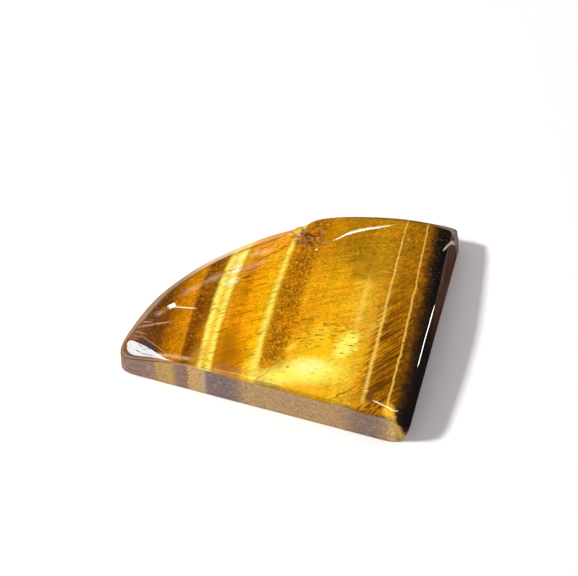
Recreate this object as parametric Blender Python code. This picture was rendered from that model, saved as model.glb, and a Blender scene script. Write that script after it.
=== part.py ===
"""Polished tiger's eye stone: a low domed slab with one straight sawn side, a straight right side and a
rounded back flank. Metres, +X along the sawn side, +Y to the back, +Z up, base on Z = 0."""
import math

import bmesh
import bpy
import numpy as np

MM = 0.001

# Dome: the wide, gently rounded top.
DOME_RADIUS = 90.0 * MM
DOME_TOP = 5.45 * MM
DOME_CENTRE = (2.36 * MM, -1.76 * MM)

# Sides. Azimuth is the way a face looks, in degrees from +X; lean is how far it tips upward from upright.
SAWN_SIDE_Y = -12.51 * MM
RIGHT_SIDE_POINT = (14.24 * MM, -5.36 * MM, 0.2 * MM)
RIGHT_SIDE_AZIMUTH = 2.6
RIGHT_SIDE_LEAN = 3.0
RIGHT_BEVEL_POINT = (13.69 * MM, 1.44 * MM, 4.5 * MM)
RIGHT_BEVEL_AZIMUTH = 7.6
RIGHT_BEVEL_LEAN = 30.0
TAIL_FLANK_AXIS = (10.42 * MM, -13.80 * MM)
TAIL_FLANK_RADIUS = 25.08 * MM
LEFT_FLANK_AXIS = (14.26 * MM, -18.52 * MM)
LEFT_FLANK_RADIUS = 30.49 * MM
BACK_FLANK_AXIS = (14.67 * MM, -29.89 * MM)
BACK_FLANK_RADIUS = 41.72 * MM
STEP_POINT = (-1.60 * MM, 7.75 * MM, 0.0)
STEP_AZIMUTH = 157.0

# Bevels ground around the dome: axis, radius where the bevel has the given height, lean from upright.
LEFT_BEVEL_AXIS = (18.26 * MM, -18.51 * MM)
LEFT_BEVEL_RADIUS = 30.0 * MM
LEFT_BEVEL_HEIGHT = 5.02 * MM
LEFT_BEVEL_LEAN = 70.0
LEFT_BEVEL_END = (-0.60 * MM, 5.00 * MM, 4.70 * MM)
LEFT_BEVEL_END_AZIMUTH = 51.0
LEFT_BEVEL_END_LEAN = 35.0
BACK_BEVEL_AXIS = (9.41 * MM, -2.41 * MM)
BACK_BEVEL_RADIUS = 11.05 * MM
BACK_BEVEL_HEIGHT = 5.0 * MM
BACK_BEVEL_LEAN = 64.0
RIM_HEIGHTS = (3.0 * MM, 3.1 * MM, 3.16 * MM)
RIM_LEAN = 47.0

# Flat facets: one across the left tip, one across the back right corner.
TIP_POINT = (-13.44 * MM, -12.48 * MM, 2.75 * MM)
TIP_AZIMUTH = -122.0
TIP_LEAN = 61.0
CORNER_POINT = (12.96 * MM, 10.84 * MM, 4.1 * MM)
CORNER_AZIMUTH = 47.0
CORNER_LEAN = 50.0

# Soft roll-over of the front right corner: a cone, and the bearings between which it fades in and out.
ROLL_AXIS = (12.4 * MM, -8.8 * MM)
ROLL_RADIUS = 2.85 * MM
ROLL_HEIGHT = 4.38 * MM
ROLL_LEAN = 69.0
ROLL_BEARINGS = (-152.0, -106.0, -62.0, -20.0)

# Blends: how softly neighbouring faces run into each other.
TIP_BLEND = 2.2 * MM
FRONT_CORNER_BLEND = 3.1 * MM
BACK_CORNER_BLEND = 0.9 * MM
STEP_BLEND = 1.0 * MM
RIDGE_BLEND = 0.22 * MM
BEVEL_BLEND = 0.5 * MM
RIM_BLEND = 0.45 * MM
RIGHT_RIM_BLEND = 0.80 * MM
RIGHT_RIM_FROM = 11.5 * MM
RIGHT_RIM_TO = 13.5 * MM
BASE_BLEND = 0.4 * MM

# Flake scars near the step in the back flank: centre of each scoop and its radius.
SCARS = (
    ((-0.72 * MM, 4.78 * MM, 7.37 * MM), 2.4 * MM),
    ((-0.48 * MM, 6.79 * MM, 5.53 * MM), 1.8 * MM),
    ((-2.42 * MM, 5.83 * MM, 5.80 * MM), 1.5 * MM),
)

# Skin: number of meridians around the stone and where each meridian is sampled.
MERIDIANS = 108
CORNER_WEIGHT = 2.2 * MM
PIVOT_INSET = 2.0 * MM
PIVOT_HEIGHT = 2.3 * MM
BASE_ANGLES = (-46.0, -41.0, -34.0)
RIM_OFFSETS = (-12.0, -7.0, -3.0, 0.0, 3.0, 7.0, 12.0)
UPPER_SHARES = (0.3, 0.65)
TOP_STEPS = (1.0, 0.9, 0.78, 0.65, 0.5, 0.34, 0.17)
RIM_SEARCH = 160
RIM_EVENINGS = 6
FAR = 60.0 * MM
HALVINGS = 44


def blend_inner(a, b, width):
    """Lesser of two inward distances, rounded where they meet."""
    near = np.maximum(width - np.abs(a - b), 0.0) / width
    return np.minimum(a, b) - near**3 * width / 6.0


def blend_outer(a, b, width):
    """Greater of two inward distances, rounded where they meet."""
    return -blend_inner(-a, -b, width)


def flat_face(points, through, azimuth, lean):
    """Inward distance from a flat face."""
    a, e = math.radians(azimuth), math.radians(lean)
    outward = np.array((math.cos(a) * math.cos(e), math.sin(a) * math.cos(e), math.sin(e)))
    return (np.asarray(through) - points) @ outward


def turned_face(points, axis, radius, height, lean):
    """Inward distance from a cone about an upright axis, of this radius at this height."""
    e = math.radians(lean)
    reach = np.hypot(points[:, 0] - axis[0], points[:, 1] - axis[1])
    return (radius - reach) * math.cos(e) - (points[:, 2] - height) * math.sin(e)


def domed_face(points):
    """Inward distance from the dome."""
    centre = np.array((DOME_CENTRE[0], DOME_CENTRE[1], DOME_TOP - DOME_RADIUS))
    return DOME_RADIUS - np.linalg.norm(points - centre, axis=1)


def flank(points, heights, lean):
    """Inward distance from the rounded flank: tail, left and back parts, with the step before the last."""
    tail = turned_face(points, TAIL_FLANK_AXIS, TAIL_FLANK_RADIUS, heights[0], lean)
    left = turned_face(points, LEFT_FLANK_AXIS, LEFT_FLANK_RADIUS, heights[1], lean)
    back = turned_face(points, BACK_FLANK_AXIS, BACK_FLANK_RADIUS, heights[2], lean)
    step = flat_face(points, STEP_POINT, STEP_AZIMUTH, 0.0)
    left = blend_inner(tail, left, RIDGE_BLEND)
    return blend_outer(left, blend_inner(back, step, STEP_BLEND), STEP_BLEND)


def sides(points):
    """Inward distance from the upright faces."""
    sawn = flat_face(points, (0.0, SAWN_SIDE_Y, 0.0), -90.0, 0.0)
    right = flat_face(points, RIGHT_SIDE_POINT, RIGHT_SIDE_AZIMUTH, RIGHT_SIDE_LEAN)
    bevel = flat_face(points, RIGHT_BEVEL_POINT, RIGHT_BEVEL_AZIMUTH, RIGHT_BEVEL_LEAN)
    rounded = flank(points, (0.0, 0.0, 0.0), 0.0)
    corners = (
        blend_inner(sawn, rounded, TIP_BLEND),
        blend_inner(sawn, right, FRONT_CORNER_BLEND),
        blend_inner(rounded, right, BACK_CORNER_BLEND),
    )
    return blend_inner(np.minimum.reduce(corners), bevel, RIDGE_BLEND)


def bevels(points):
    """Inward distance from the wide bevels: the left one ends at the step, beside the lower back one."""
    left = turned_face(points, LEFT_BEVEL_AXIS, LEFT_BEVEL_RADIUS, LEFT_BEVEL_HEIGHT, LEFT_BEVEL_LEAN)
    end = flat_face(points, LEFT_BEVEL_END, LEFT_BEVEL_END_AZIMUTH, LEFT_BEVEL_END_LEAN)
    back = turned_face(points, BACK_BEVEL_AXIS, BACK_BEVEL_RADIUS, BACK_BEVEL_HEIGHT, BACK_BEVEL_LEAN)
    return blend_outer(blend_inner(left, end, RIDGE_BLEND), back, BEVEL_BLEND)


def crown(points):
    """Inward distance from the dome and the bevels ground around it."""
    ground = (
        bevels(points),
        flank(points, RIM_HEIGHTS, RIM_LEAN),
        flat_face(points, TIP_POINT, TIP_AZIMUTH, TIP_LEAN),
        flat_face(points, CORNER_POINT, CORNER_AZIMUTH, CORNER_LEAN),
    )
    surface = domed_face(points)
    for face in ground:
        surface = blend_inner(surface, face, RIDGE_BLEND)
    roll = turned_face(points, ROLL_AXIS, ROLL_RADIUS, ROLL_HEIGHT, ROLL_LEAN)
    rolled = blend_inner(surface, roll, RIDGE_BLEND)
    return surface + (rolled - surface) * roll_share(points)


def roll_share(points):
    """Share of the roll-over at each point, from none to the whole of it."""
    bearing = np.degrees(np.arctan2(points[:, 1] - ROLL_AXIS[1], points[:, 0] - ROLL_AXIS[0]))
    rising = (bearing - ROLL_BEARINGS[0]) / (ROLL_BEARINGS[1] - ROLL_BEARINGS[0])
    falling = (ROLL_BEARINGS[3] - bearing) / (ROLL_BEARINGS[3] - ROLL_BEARINGS[2])
    held = np.clip(np.minimum(rising, falling), 0.0, 1.0)
    return held * held * (3.0 - 2.0 * held)


def stone(points):
    """Inward distance from the whole stone: positive inside, zero on its skin."""
    rightward = np.clip((points[:, 0] - RIGHT_RIM_FROM) / (RIGHT_RIM_TO - RIGHT_RIM_FROM), 0.0, 1.0)
    rim = RIM_BLEND + (RIGHT_RIM_BLEND - RIM_BLEND) * rightward
    body = blend_inner(sides(points), crown(points), rim)
    return blend_inner(body, points[:, 2], BASE_BLEND)


def first_crossing(distance, starts, ways):
    """Points where rays from inside the stone reach zero of the distance."""
    near = np.zeros(len(starts))
    far = np.full(len(starts), FAR)
    for _ in range(HALVINGS):
        middle = (near + far) / 2.0
        held = distance(starts + ways * middle[:, None]) > 0.0
        near = np.where(held, middle, near)
        far = np.where(held, far, middle)
    return starts + ways * near[:, None]


def level_rays(angles, height):
    """Starts and horizontal ways of rays from the middle of the stone at this height."""
    ways = np.column_stack((np.cos(angles), np.sin(angles), np.zeros(len(angles))))
    starts = np.tile(np.array((DOME_CENTRE[0], DOME_CENTRE[1], height)), (len(angles), 1))
    return starts, ways


def meridian_angles(count):
    """Bearings of the meridians: even along the outline, closer together around its corners."""
    dense = np.linspace(0.0, 2.0 * math.pi, 40 * count, endpoint=False)
    outline = first_crossing(sides, *level_rays(dense, PIVOT_HEIGHT))
    edges = np.roll(outline, -1, axis=0) - outline
    lengths = np.linalg.norm(edges, axis=1)
    headings = np.arctan2(edges[:, 1], edges[:, 0])
    turns = np.abs((np.diff(headings, append=headings[0]) + math.pi) % (2.0 * math.pi) - math.pi)
    travelled = np.concatenate(((0.0,), np.cumsum(lengths + CORNER_WEIGHT * turns)))
    wanted = np.linspace(0.0, travelled[-1], count, endpoint=False)
    return np.interp(wanted, travelled, np.append(dense, 2.0 * math.pi))


def raised(ways, angles):
    """These horizontal ways, tipped up by one angle each, in degrees."""
    tips = np.radians(angles)[:, None]
    return ways * np.cos(tips) + np.array((0.0, 0.0, 1.0)) * np.sin(tips)


def rim_angles(pivots, ways):
    """Angle above each pivot at which the upright faces give way to the crown."""
    rims = np.zeros(len(pivots))
    for angle in np.linspace(90.0, 0.0, RIM_SEARCH):
        skin = first_crossing(stone, pivots, raised(ways, np.full(len(pivots), angle)))
        on_crown = crown(skin) < sides(skin)
        rims = np.where(on_crown, angle, rims)
    for _ in range(RIM_EVENINGS):
        rims = (np.roll(rims, 1) + 2.0 * rims + np.roll(rims, -1)) / 4.0
    return rims


def skin_rings(count):
    """Closed rings of points over the skin, from the rim of the base up to the top."""
    angles = meridian_angles(count)
    starts, ways = level_rays(angles, PIVOT_HEIGHT)
    pivots = first_crossing(sides, starts, ways) - ways * PIVOT_INSET
    floor_starts, _ = level_rays(angles, 0.0)
    rings = [first_crossing(lambda p: sides(p) - BASE_BLEND, floor_starts, ways)]
    rims = rim_angles(pivots, ways)
    steps = [np.full(count, angle) for angle in BASE_ANGLES]
    steps += [rims + offset for offset in RIM_OFFSETS]
    above = rims + RIM_OFFSETS[-1]
    steps += [above + (90.0 - above) * share for share in UPPER_SHARES]
    for step in steps:
        rings.append(first_crossing(stone, pivots, raised(ways, step)))
    upright = np.tile(np.array((0.0, 0.0, 1.0)), (count, 1))
    for share in TOP_STEPS:
        below = starts + (pivots - starts) * share
        rings.append(first_crossing(stone, below, upright))
    return rings


def skin_mesh(count):
    """Closed mesh of the stone, with one vertex in the middle of the base and one at the top."""
    rings = skin_rings(count)
    base_middle = np.array((DOME_CENTRE[0], DOME_CENTRE[1], 0.0))
    top_middle = base_middle + np.array((0.0, 0.0, DOME_TOP))
    corners = np.vstack([*rings, base_middle, top_middle])
    middle = (corners.min(axis=0) + corners.max(axis=0)) / 2.0
    corners = corners - np.array((middle[0], middle[1], 0.0))
    base, top = len(corners) - 2, len(corners) - 1
    last = (len(rings) - 1) * count
    faces = []
    for j in range(count):
        k = (j + 1) % count
        faces.append((base, k, j))
        faces.append((top, last + j, last + k))
        for i in range(len(rings) - 1):
            low, high = i * count, (i + 1) * count
            faces.append((low + j, low + k, high + k, high + j))
    mesh = bpy.data.meshes.new("stone")
    mesh.from_pydata(corners.tolist(), [], faces)
    tidy = bmesh.new()
    tidy.from_mesh(mesh)
    bmesh.ops.triangulate(tidy, faces=tidy.faces[:])
    tidy.to_mesh(mesh)
    tidy.free()
    mesh.validate()
    return mesh, middle


def tigers_eye():
    """Polished golden brown stone."""
    material = bpy.data.materials.new("tigers_eye")
    material.use_nodes = True
    surface = material.node_tree.nodes["Principled BSDF"]
    surface.inputs["Base Color"].default_value = (0.42, 0.22, 0.03, 1.0)
    surface.inputs["Roughness"].default_value = 0.35
    surface.inputs["Coat Weight"].default_value = 1.0
    surface.inputs["Coat Roughness"].default_value = 0.04
    return material


def scar_cutter(name, centre, radius, material):
    """Round scoop that takes one flake out of the skin."""
    shape = bmesh.new()
    bmesh.ops.create_icosphere(shape, subdivisions=4, radius=radius)
    mesh = bpy.data.meshes.new(name)
    shape.to_mesh(mesh)
    shape.free()
    mesh.shade_smooth()
    cutter = bpy.data.objects.new(name, mesh)
    cutter.location = centre
    cutter.data.materials.append(material)
    cutter.display_type = "WIRE"
    cutter.hide_render = True
    bpy.context.scene.collection.objects.link(cutter)
    return cutter


def build_stone():
    """The one solid, with its flake scars cut in."""
    mesh, middle = skin_mesh(MERIDIANS)
    material = tigers_eye()
    mesh.materials.append(material)
    body = bpy.data.objects.new("stone", mesh)
    bpy.context.scene.collection.objects.link(body)
    mesh.shade_smooth()
    mesh.set_sharp_from_angle(angle=math.radians(40.0))
    for number, (centre, radius) in enumerate(SCARS, start=1):
        place = (centre[0] - middle[0], centre[1] - middle[1], centre[2])
        cutter = scar_cutter(f"flake_cutter_{number}", place, radius, material)
        cut = body.modifiers.new(f"flake_{number}", "BOOLEAN")
        cut.operation = "DIFFERENCE"
        cut.solver = "EXACT"
        cut.object = cutter
    return body


def main():
    for item in list(bpy.data.objects):
        bpy.data.objects.remove(item, do_unlink=True)
    build_stone()


main()
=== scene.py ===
"""Looks of a polished tiger's eye stone: banded golden body, sawn side, pale table and soft studio light.

Shapes are worked out in millimetres about a shaping origin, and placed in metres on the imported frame.
"""

import logging
import math
from collections.abc import Callable
from dataclasses import dataclass
from enum import Enum
from functools import reduce

import bpy
import numpy as np
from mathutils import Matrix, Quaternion, Vector


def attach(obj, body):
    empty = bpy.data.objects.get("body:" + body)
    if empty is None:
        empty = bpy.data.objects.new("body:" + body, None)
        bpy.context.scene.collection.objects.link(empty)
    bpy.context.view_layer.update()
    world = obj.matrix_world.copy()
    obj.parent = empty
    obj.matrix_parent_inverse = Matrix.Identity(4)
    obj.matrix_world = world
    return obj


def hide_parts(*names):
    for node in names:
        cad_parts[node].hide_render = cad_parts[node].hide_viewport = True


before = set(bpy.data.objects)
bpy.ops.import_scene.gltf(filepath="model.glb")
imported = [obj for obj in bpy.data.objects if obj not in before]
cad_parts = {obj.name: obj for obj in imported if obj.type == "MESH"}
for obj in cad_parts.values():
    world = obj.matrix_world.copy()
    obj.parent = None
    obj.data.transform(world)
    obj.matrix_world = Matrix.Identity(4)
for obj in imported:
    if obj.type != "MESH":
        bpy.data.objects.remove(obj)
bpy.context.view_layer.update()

LOG = logging.getLogger("tigers_eye")
MM = 0.001
MIDDLE_MM = (-0.0302, -0.3591)
FULL_TURN = 2.0 * math.pi
X_AXIS = (1.0, 0.0, 0.0)
Y_AXIS = (0.0, 1.0, 0.0)
Z_AXIS = (0.0, 0.0, 1.0)

CROWN_RADIUS = 90.0
CROWN_TOP = 5.45
CROWN_MIDDLE = (2.36, -1.76)
FRONT_RIM_TOP = 4.81

Pair = tuple[float, float]
Point = tuple[float, float, float]
Colour = tuple[float, float, float, float]
Depth = Callable[[np.ndarray], np.ndarray]


def tint(red: int, green: int, blue: int) -> Colour:
    """Linear colour of a display colour.

    Args:
        red: Red part, 0 to 255.
        green: Green part, 0 to 255.
        blue: Blue part, 0 to 255.

    Returns:
        Red, green, blue and full alpha in linear light.
    """
    linear = []
    for part in (red, green, blue):
        share = part / 255.0
        linear.append(share / 12.92 if share <= 0.04045 else ((share + 0.055) / 1.055) ** 2.4)
    return (linear[0], linear[1], linear[2], 1.0)


def heading(azimuth: float, elevation: float) -> Vector:
    """Unit vector at an azimuth from +X and an elevation, both in degrees."""
    a, e = math.radians(azimuth), math.radians(elevation)
    return Vector((math.cos(a) * math.cos(e), math.sin(a) * math.cos(e), math.sin(e)))


def placed(name: str, data: bpy.types.ID) -> bpy.types.Object:
    """Puts a new object in the scene.

    Args:
        name: Name of the object.
        data: Its mesh, lamp or camera.

    Returns:
        The object.
    """
    made = bpy.data.objects.new(name, data)
    bpy.context.scene.collection.objects.link(made)
    return made


def blend_inner(a: np.ndarray, b: np.ndarray, width: float) -> np.ndarray:
    """Rounds the lesser of two depths where they meet.

    Args:
        a: First depth at each point.
        b: Second depth at each point.
        width: Difference of depths under which the two faces blend.

    Returns:
        Blended depth at each point.
    """
    near = np.maximum(width - np.abs(a - b), 0.0) / width
    return np.minimum(a, b) - near**3 * width / 6.0


def blend_outer(a: np.ndarray, b: np.ndarray, width: float) -> np.ndarray:
    """Rounds the greater of two depths where they meet, as blend_inner rounds the lesser."""
    return -blend_inner(-a, -b, width)


@dataclass(frozen=True)
class FlatFace:
    """Flat ground face: a point on it, the way it looks and how far it tips up from upright."""

    through: Point
    azimuth: float
    lean: float

    def depth(self, points: np.ndarray) -> np.ndarray:
        """Inward distance of each point from the face."""
        outward = np.array(heading(self.azimuth, self.lean))
        return (np.array(self.through) - points) @ outward


@dataclass(frozen=True)
class TurnedFace:
    """Cone about an upright axis: its radius at one height and its lean from upright."""

    axis: Pair
    radius: float
    height: float = 0.0
    lean: float = 0.0

    def depth(self, points: np.ndarray) -> np.ndarray:
        """Inward distance of each point from the cone.

        Args:
            points: Points in millimetres.

        Returns:
            One distance for each point.
        """
        tip = math.radians(self.lean)
        reach = np.hypot(points[:, 0] - self.axis[0], points[:, 1] - self.axis[1])
        return (self.radius - reach) * math.cos(tip) - (points[:, 2] - self.height) * math.sin(tip)

    def raised(self, height: float, lean: float) -> "TurnedFace":
        """The same circle at another height, with another lean."""
        return TurnedFace(self.axis, self.radius, height, lean)


@dataclass(frozen=True)
class DomedFace:
    """Wide dome: radius, height of its top and the place of the top."""

    radius: float
    top: float
    centre: Pair

    def depth(self, points: np.ndarray) -> np.ndarray:
        """Inward distance of each point from the dome."""
        middle = np.array((self.centre[0], self.centre[1], self.top - self.radius))
        return self.radius - np.linalg.norm(points - middle, axis=1)


@dataclass(frozen=True)
class Flake:
    """Piece broken off the skin: round when it has no face, otherwise flat within its reach."""

    centre: Point
    reach: float
    face: FlatFace | None = None

    def cut(self, points: np.ndarray, depth: np.ndarray) -> np.ndarray:
        """Takes the flake out of a solid.

        Args:
            points: Points in millimetres.
            depth: Depth of the solid at each point.

        Returns:
            Depth at each point after the cut.
        """
        clear = np.linalg.norm(points - np.array(self.centre), axis=1) - self.reach
        if self.face is not None:
            clear = np.maximum(clear, self.face.depth(points))
        return np.minimum(depth, clear)


@dataclass(frozen=True)
class Ripple:
    """Faint wave left by the polishing wheel: its bearing, length, height and phase."""

    azimuth: float
    length: float
    height: float
    phase: float

    def rise(self, points: np.ndarray) -> np.ndarray:
        """Height of the wave at each point.

        Args:
            points: Points in millimetres.

        Returns:
            One height for each point.
        """
        a = math.radians(self.azimuth)
        along = points[:, 0] * math.cos(a) + points[:, 1] * math.sin(a)
        return self.height * np.sin(FULL_TURN * along / self.length + self.phase)


@dataclass
class StoneBody:
    """The one solid piece, with its bevels, step, chips and polishing ripples, in millimetres and degrees."""

    dome: DomedFace = DomedFace(CROWN_RADIUS, CROWN_TOP, CROWN_MIDDLE)
    sawn: FlatFace = FlatFace((0.0, -12.51, 0.0), -90.0, 0.0)
    right: FlatFace = FlatFace((14.24, -5.36, 0.2), 2.6, 3.0)
    right_bevel: FlatFace = FlatFace((13.69, 1.44, 4.5), 7.6, 30.0)
    tail: TurnedFace = TurnedFace((10.42, -13.80), 25.08)
    left: TurnedFace = TurnedFace((14.26, -18.52), 30.49)
    back: TurnedFace = TurnedFace((14.67, -29.89), 41.72)
    step: FlatFace = FlatFace((-1.60, 7.75, 0.0), 157.0, 0.0)
    left_bevel: TurnedFace = TurnedFace((18.26, -18.51), 30.0, 5.02, 70.0)
    left_bevel_end: FlatFace = FlatFace((-0.60, 5.00, 4.70), 51.0, 35.0)
    back_bevel: TurnedFace = TurnedFace((9.41, -2.41), 11.05, 5.0, 64.0)
    tip: FlatFace = FlatFace((-13.44, -12.48, 2.75), -122.0, 61.0)
    corner: FlatFace = FlatFace((12.96, 10.84, 4.1), 47.0, 50.0)
    corner_roll: TurnedFace = TurnedFace((12.4, -8.8), 2.85, 4.38, 69.0)
    roll_bearings: tuple[float, float, float, float] = (-152.0, -106.0, -62.0, -20.0)
    rim_heights: Point = (3.0, 3.1, 3.16)
    rim_lean: float = 47.0
    tip_blend: float = 2.2
    front_corner_blend: float = 3.1
    back_corner_blend: float = 0.9
    step_blend: float = 1.0
    ridge_blend: float = 0.22
    bevel_blend: float = 0.5
    rim_blend: float = 0.45
    right_rim_blend: float = 0.80
    right_rim_from: float = 11.5
    right_rim_run: float = 2.0
    base_blend: float = 0.4
    flakes: tuple[Flake, ...] = (
        Flake((-0.72, 4.78, 7.37), 2.4),
        Flake((-0.48, 6.79, 5.53), 1.8),
        Flake((-2.42, 5.83, 5.80), 1.5),
        Flake((-1.05, 4.95, 4.95), 0.75, FlatFace((-1.05, 4.95, 4.78), 30.0, 66.0)),
        Flake((-0.25, 5.15, 4.80), 0.60, FlatFace((-0.25, 5.15, 4.66), 100.0, 58.0)),
        Flake((-1.75, 6.15, 4.25), 0.70, FlatFace((-1.75, 6.15, 4.08), 150.0, 52.0)),
        Flake((-0.95, 6.30, 4.05), 0.60, FlatFace((-0.95, 6.30, 3.92), 70.0, 40.0)),
        Flake((-2.55, 6.05, 4.20), 0.45, FlatFace((-2.55, 6.05, 4.10), 170.0, 70.0)),
    )
    ripples: tuple[Ripple, ...] = (
        Ripple(25.0, 7.3, 0.010, 0.4),
        Ripple(100.0, 5.1, 0.007, 1.9),
        Ripple(150.0, 3.4, 0.003, 0.7),
        Ripple(62.0, 2.3, 0.0016, 2.6),
    )
    meridians: int = 420
    outline_fineness: int = 12
    corner_weight: float = 2.2
    pivot_inset: float = 2.0
    pivot_height: float = 2.3
    base_angles: tuple[float, ...] = (-46.0, -44.5, -43.0, -41.0, -38.0, -34.0, -28.0, -20.0, -12.0)
    rim_steps: tuple[float, ...] = (1.5, 3.0, 4.5, 6.0, 8.0, 10.5, 14.0)
    upper_rings: int = 10
    top_rings: int = 84
    rim_search: int = 120
    rim_evenings: int = 18
    far: float = 60.0
    halvings: int = 34

    def flank(self, points: np.ndarray, heights: Point, lean: float) -> np.ndarray:
        """Depth from the rounded flank, upright or leaning.

        Args:
            points: Points in millimetres.
            heights: Height at which the tail, left and back parts have their radius.
            lean: Lean from upright, in degrees.

        Returns:
            Depth at each point.
        """
        tail = self.tail.raised(heights[0], lean).depth(points)
        left = self.left.raised(heights[1], lean).depth(points)
        back = self.back.raised(heights[2], lean).depth(points)
        left = blend_inner(tail, left, self.ridge_blend)
        right_part = blend_inner(back, self.step.depth(points), self.step_blend)
        return blend_outer(left, right_part, self.step_blend)

    def sides(self, points: np.ndarray) -> np.ndarray:
        """Depth from the upright faces.

        Args:
            points: Points in millimetres.

        Returns:
            Depth at each point.
        """
        sawn = self.sawn.depth(points)
        right = self.right.depth(points)
        rounded = self.flank(points, (0.0, 0.0, 0.0), 0.0)
        corners = (
            blend_inner(sawn, rounded, self.tip_blend),
            blend_inner(sawn, right, self.front_corner_blend),
            blend_inner(rounded, right, self.back_corner_blend),
        )
        around = np.minimum.reduce(corners)
        return blend_inner(around, self.right_bevel.depth(points), self.ridge_blend)

    def bevels(self, points: np.ndarray) -> np.ndarray:
        """Depth of each point from the two wide bevels, the left one higher and ending at the step."""
        left = blend_inner(self.left_bevel.depth(points), self.left_bevel_end.depth(points), self.ridge_blend)
        return blend_outer(left, self.back_bevel.depth(points), self.bevel_blend)

    def crown(self, points: np.ndarray) -> np.ndarray:
        """Depth from the dome and the bevels ground around it.

        Args:
            points: Points in millimetres.

        Returns:
            Depth at each point.
        """
        surface = self.dome.depth(points)
        ground = (
            self.bevels(points),
            self.flank(points, self.rim_heights, self.rim_lean),
            self.tip.depth(points),
            self.corner.depth(points),
        )
        for face in ground:
            surface = blend_inner(surface, face, self.ridge_blend)
        rolled = blend_inner(surface, self.corner_roll.depth(points), self.ridge_blend)
        return surface + (rolled - surface) * self.corner_share(points)

    def corner_share(self, points: np.ndarray) -> np.ndarray:
        """Share of the soft roll-over of the front right corner, fading out to both sides.

        Args:
            points: Points in millimetres.

        Returns:
            Share at each point.
        """
        x, y = points[:, 0] - self.corner_roll.axis[0], points[:, 1] - self.corner_roll.axis[1]
        bearing = np.degrees(np.arctan2(y, x))
        left_out, left_in, right_in, right_out = self.roll_bearings
        rising = np.clip((bearing - left_out) / (left_in - left_out), 0.0, 1.0)
        falling = np.clip((right_out - bearing) / (right_out - right_in), 0.0, 1.0)
        held = np.minimum(rising, falling)
        return held * held * (3.0 - 2.0 * held)

    def depth(self, points: np.ndarray) -> np.ndarray:
        """Depth inside the whole stone, zero on its skin.

        Args:
            points: Points in millimetres.

        Returns:
            Depth at each point.
        """
        rightward = np.clip((points[:, 0] - self.right_rim_from) / self.right_rim_run, 0.0, 1.0)
        rim = self.rim_blend + (self.right_rim_blend - self.rim_blend) * rightward
        body = blend_inner(self.sides(points), self.crown(points), rim)
        for ripple in self.ripples:
            body = body - ripple.rise(points) * np.clip(points[:, 2], 0.0, 1.0)
        for flake in self.flakes:
            body = flake.cut(points, body)
        return blend_inner(body, points[:, 2], self.base_blend)

    def first_crossing(self, depth: Depth, starts: np.ndarray, ways: np.ndarray) -> np.ndarray:
        """Points where rays from inside the stone reach zero depth.

        Args:
            depth: Function that gives the depth at points.
            starts: Start of each ray.
            ways: Unit way of each ray.

        Returns:
            One point for each ray.
        """
        near = np.zeros(len(starts))
        far = np.full(len(starts), self.far)
        for _ in range(self.halvings):
            middle = (near + far) / 2.0
            held = depth(starts + ways * middle[:, None]) > 0.0
            near = np.where(held, middle, near)
            far = np.where(held, far, middle)
        return starts + ways * near[:, None]

    def level_rays(self, angles: np.ndarray, height: float) -> tuple[np.ndarray, np.ndarray]:
        """Level rays from the middle of the stone.

        Args:
            angles: Bearing of each ray.
            height: Height of all the rays.

        Returns:
            Start and way of each ray.
        """
        ways = np.column_stack((np.cos(angles), np.sin(angles), np.zeros(len(angles))))
        starts = np.tile(np.array((self.dome.centre[0], self.dome.centre[1], height)), (len(angles), 1))
        return starts, ways

    def meridian_angles(self) -> np.ndarray:
        """Bearings of the meridians.

        Returns:
            One bearing for each, closer together around the corners of the outline.
        """
        dense = np.linspace(0.0, FULL_TURN, self.outline_fineness * self.meridians, endpoint=False)
        outline = self.first_crossing(self.sides, *self.level_rays(dense, self.pivot_height))
        edges = np.roll(outline, -1, axis=0) - outline
        headings = np.arctan2(edges[:, 1], edges[:, 0])
        turns = np.abs((np.diff(headings, append=headings[0]) + math.pi) % FULL_TURN - math.pi)
        lengths = np.linalg.norm(edges, axis=1) + self.corner_weight * turns
        travelled = np.concatenate(((0.0,), np.cumsum(lengths)))
        wanted = np.linspace(0.0, travelled[-1], self.meridians, endpoint=False)
        return np.interp(wanted, travelled, np.append(dense, FULL_TURN))

    @staticmethod
    def lifted(ways: np.ndarray, angles: np.ndarray) -> np.ndarray:
        """Level ways tipped up by one angle each, in degrees."""
        tips = np.radians(angles)[:, None]
        return ways * np.cos(tips) + np.array(Z_AXIS) * np.sin(tips)

    def rim_angles(self, pivots: np.ndarray, ways: np.ndarray) -> np.ndarray:
        """Angle above each pivot at which the upright faces give way to the crown.

        Args:
            pivots: A point inside the rim for each meridian.
            ways: Level way of each meridian.

        Returns:
            Angle of the rim on each meridian, in degrees, evened out round the stone.
        """
        rims = np.zeros(len(pivots))
        for angle in np.linspace(90.0, 0.0, self.rim_search):
            skin = self.first_crossing(self.depth, pivots, self.lifted(ways, np.full(len(pivots), angle)))
            rims = np.where(self.crown(skin) < self.sides(skin), angle, rims)
        for _ in range(self.rim_evenings):
            rims = (np.roll(rims, 1) + 2.0 * rims + np.roll(rims, -1)) / 4.0
        return rims

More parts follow.
